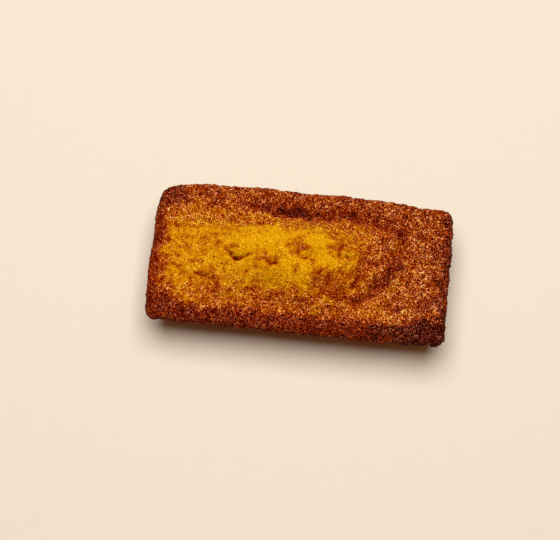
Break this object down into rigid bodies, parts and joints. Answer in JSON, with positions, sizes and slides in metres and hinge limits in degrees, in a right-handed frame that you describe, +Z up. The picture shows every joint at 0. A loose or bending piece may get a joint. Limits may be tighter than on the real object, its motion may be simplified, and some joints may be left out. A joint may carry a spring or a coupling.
{
  "type": "financier cake",
  "caption": "Small oblong almond sponge cake with tapered sides, round corners, a browned border and a risen, cracked golden top.",
  "frame": {"origin": "under the middle of the cake, on the surface that it stands on", "axes": "+X along the cake, +Y across it to the long side that is away from the camera in the picture, +Z up"},
  "size_m": [0.0878, 0.0446, 0.0189],
  "materials": {
    "crust": "satin"
  },
  "bodies": {
    "root": {"financier_cake": "crust"}
  },
  "joints": []
}
